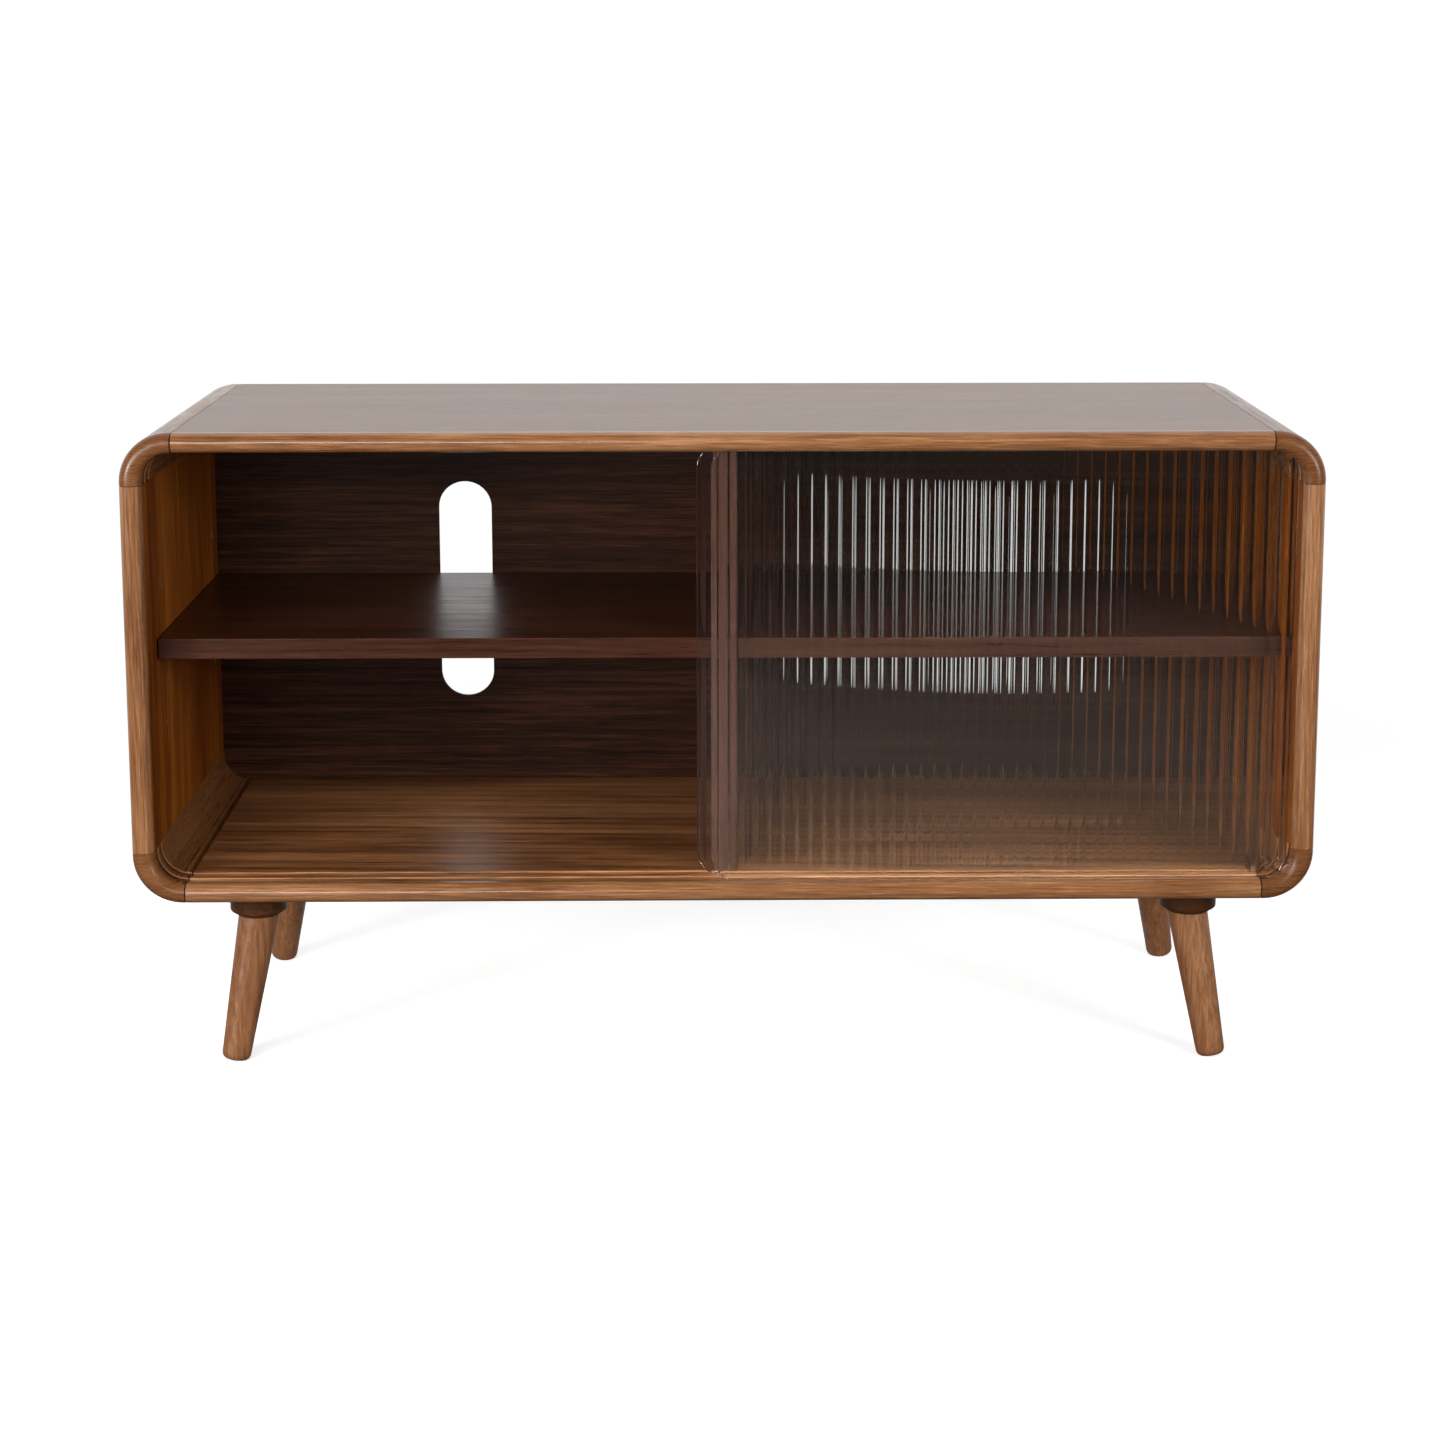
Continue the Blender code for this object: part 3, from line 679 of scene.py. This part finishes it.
door("front_fluted_door", "right_glass_door", RIGHT, 0.60)
door("rear_fluted_door", "left_glass_door", LEFT, 0.30)

# ---- small metal pieces keep their CAD shape ---------------------------------------------
for node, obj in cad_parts.items():
    if node.startswith(("shelf_pin", "pin_socket", "back_screw", "leg_bolt")):
        obj.data.materials.clear()
        obj.data.materials.append(M["bronze" if node.startswith("pin_socket") else "steel"])


# ---- floor, world, lights ----------------------------------------------------------------
def floor():
    """White to the eye and fading out, and a dull sheet in what the cabinet is lit by."""
    bm = bmesh.new()
    bmesh.ops.create_circle(bm, cap_ends=True, segments=96, radius=FLOOR_R)
    mesh = bpy.data.meshes.new("studio_floor")
    bm.to_mesh(mesh)
    bm.free()
    obj = bpy.data.objects.new("studio_floor", mesh)
    bpy.context.scene.collection.objects.link(obj)
    g = material("pale_floor")
    away = g.add("ShaderNodeVectorMath", {0: g.coordinate()},
                 operation="LENGTH").outputs["Value"]
    depth = g.math("ADD", g.coordinate(axis="Y"), FLOOR_R)
    depth = g.math("DIVIDE", depth, 2 * FLOOR_R)
    aside = g.math("ABSOLUTE", g.coordinate(axis="X"))
    eye = g.ray_is("Camera")
    dull = g.ramp(depth, [(0.24, 0.02), (0.285, (0.09, 0.078, 0.072)),
                          (0.33, (0.15, 0.13, 0.12)), (0.50, (0.15, 0.13, 0.12)),
                          (0.56, 0.80)], "EASE")
    sides = g.ramp(g.math("DIVIDE", aside, FLOOR_R), [(0.18, 1.0), (0.42, 0.35)], "EASE")
    dull = g.mix(1.0, dull, sides, "MULTIPLY")
    glow = g.ramp(depth, [(0.50, 0.0), (0.56, 0.45)], "EASE")
    # what lights the cabinet from below is weaker than what its finish mirrors
    bounce = g.math("SUBTRACT", 1.0, g.math("MULTIPLY", g.ray_is("Diffuse"), 0.7))
    dull = g.mix(1.0, dull, g.ramp(bounce, [(0.0, 0.0), (1.0, 1.0)]), "MULTIPLY")
    glow = g.math("MULTIPLY", glow, bounce)
    g.set(Base_Color=g.mix(eye, dull, (0.86, 0.86, 0.86, 1.0)), Roughness=0.8,
          Specular_IOR_Level=0.1, Emission_Color=(1.0, 1.0, 1.0, 1.0),
          Emission_Strength=g.math("MAXIMUM", g.math("MULTIPLY", eye, 0.60), glow))
    fade = g.ramp(g.math("DIVIDE", away, FLOOR_R), [(0.36, 0.0), (0.55, 1.0)], "EASE")
    fade = g.math("MULTIPLY", fade, eye)
    clear = g.add("ShaderNodeBsdfTransparent")
    mix = g.add("ShaderNodeMixShader", {0: fade, 1: g.shader.outputs[0], 2: clear.outputs[0]})
    g.tree.links.new(mix.outputs[0], g.tree.nodes["Material Output"].inputs[0])
    mesh.materials.append(g.mat)


def studio():
    """A room that is white behind the cabinet, and dark in front of it above the lit floor."""
    world = bpy.data.worlds.new("studio")
    scene.world = world
    g = Graph(world)
    room = g.add("ShaderNodeMapRange", {"Value": g.coordinate("Generated", "Y"),
                 "From Min": -0.15, "From Max": 0.35, "To Min": 0.03, "To Max": 1.15})
    # it lights the cabinet half as strongly as the finish and the glass show it
    soft = g.math("SUBTRACT", 1.0, g.math("MULTIPLY", g.ray_is("Diffuse"), 0.5))
    dim = g.math("MULTIPLY", room.outputs[0], soft)
    level = g.add("ShaderNodeMix", {0: g.ray_is("Camera"), 2: dim, 3: 1.02}, data_type="FLOAT")
    background = g.tree.nodes["Background"]
    g.put(background.inputs[0], (1.0, 1.0, 1.0, 1.0))
    g.put(background.inputs[1], level.outputs[0])


scene = bpy.context.scene
scene.view_settings.view_transform = "Standard"
floor()
studio()


def area(name, at, target, size, power, mirrored=False):
    """Softbox aimed at target. Only a mirrored one shows as a highlight in the finish."""
    data = bpy.data.lights.new(name, "AREA")
    data.shape = "RECTANGLE"
    data.size, data.size_y = size
    data.energy = power
    obj = bpy.data.objects.new(name, data)
    obj.location = at
    way = Vector(target) - Vector(at)
    obj.rotation_euler = way.to_track_quat("-Z", "Y").to_euler()
    obj.visible_glossy = mirrored
    scene.collection.objects.link(obj)


area("softbox_left", (-1.7, -2.8, 1.45), (-0.1, 0.0, 0.45), (2.2, 1.0), 50)
area("softbox_right", (2.3, -2.6, 1.45), (0.1, 0.0, 0.45), (1.3, 1.0), 42)
area("high_left", (-1.9, -2.1, 2.5), (0.0, 0.0, 0.4), (1.2, 1.0), 12)
area("high_right", (2.1, -2.0, 2.4), (0.0, 0.0, 0.4), (1.2, 1.0), 12)
area("strip_left", (-2.3, -2.2, 0.78), (-0.4, -0.1, 0.45), (0.5, 0.5), 27, True)
area("strip_right", (2.2, -2.2, 0.80), (0.4, -0.1, 0.45), (0.4, 0.45), 13, True)
area("gloss_left", (-1.3, -3.0, 0.95), (-0.2, 0.0, 0.55), (2.2, 0.25), 21, True)
area("gloss_right", (2.1, -2.9, 0.95), (0.2, 0.0, 0.55), (1.4, 0.25), 8, True)


# ---- camera ------------------------------------------------------------------------------
def place_camera():
    """A long lens nearly straight in front, a little above the top board, level across."""
    data = bpy.data.cameras.new("camera")
    camera = bpy.data.objects.new("camera", data)
    scene.collection.objects.link(camera)
    yaw, pitch = 0.0134, 0.1625
    forward = Vector((sin(yaw) * cos(pitch), cos(yaw) * cos(pitch), -sin(pitch)))
    right = Vector((cos(yaw), -sin(yaw), 0.0))
    upward = right.cross(forward)
    place = Vector((-0.01725, FRONT - 2.66319, Z_BOT + 0.85158))
    rows = list(zip(right, upward, -forward, place))
    camera.matrix_world = Matrix(rows + [(0.0, 0.0, 0.0, 1.0)])
    data.sensor_width = 36.0
    data.lens = 67.807
    data.shift_x, data.shift_y = -0.01404, -0.15398
    data.clip_start, data.clip_end = 0.05, 50.0
    scene.camera = camera


place_camera()
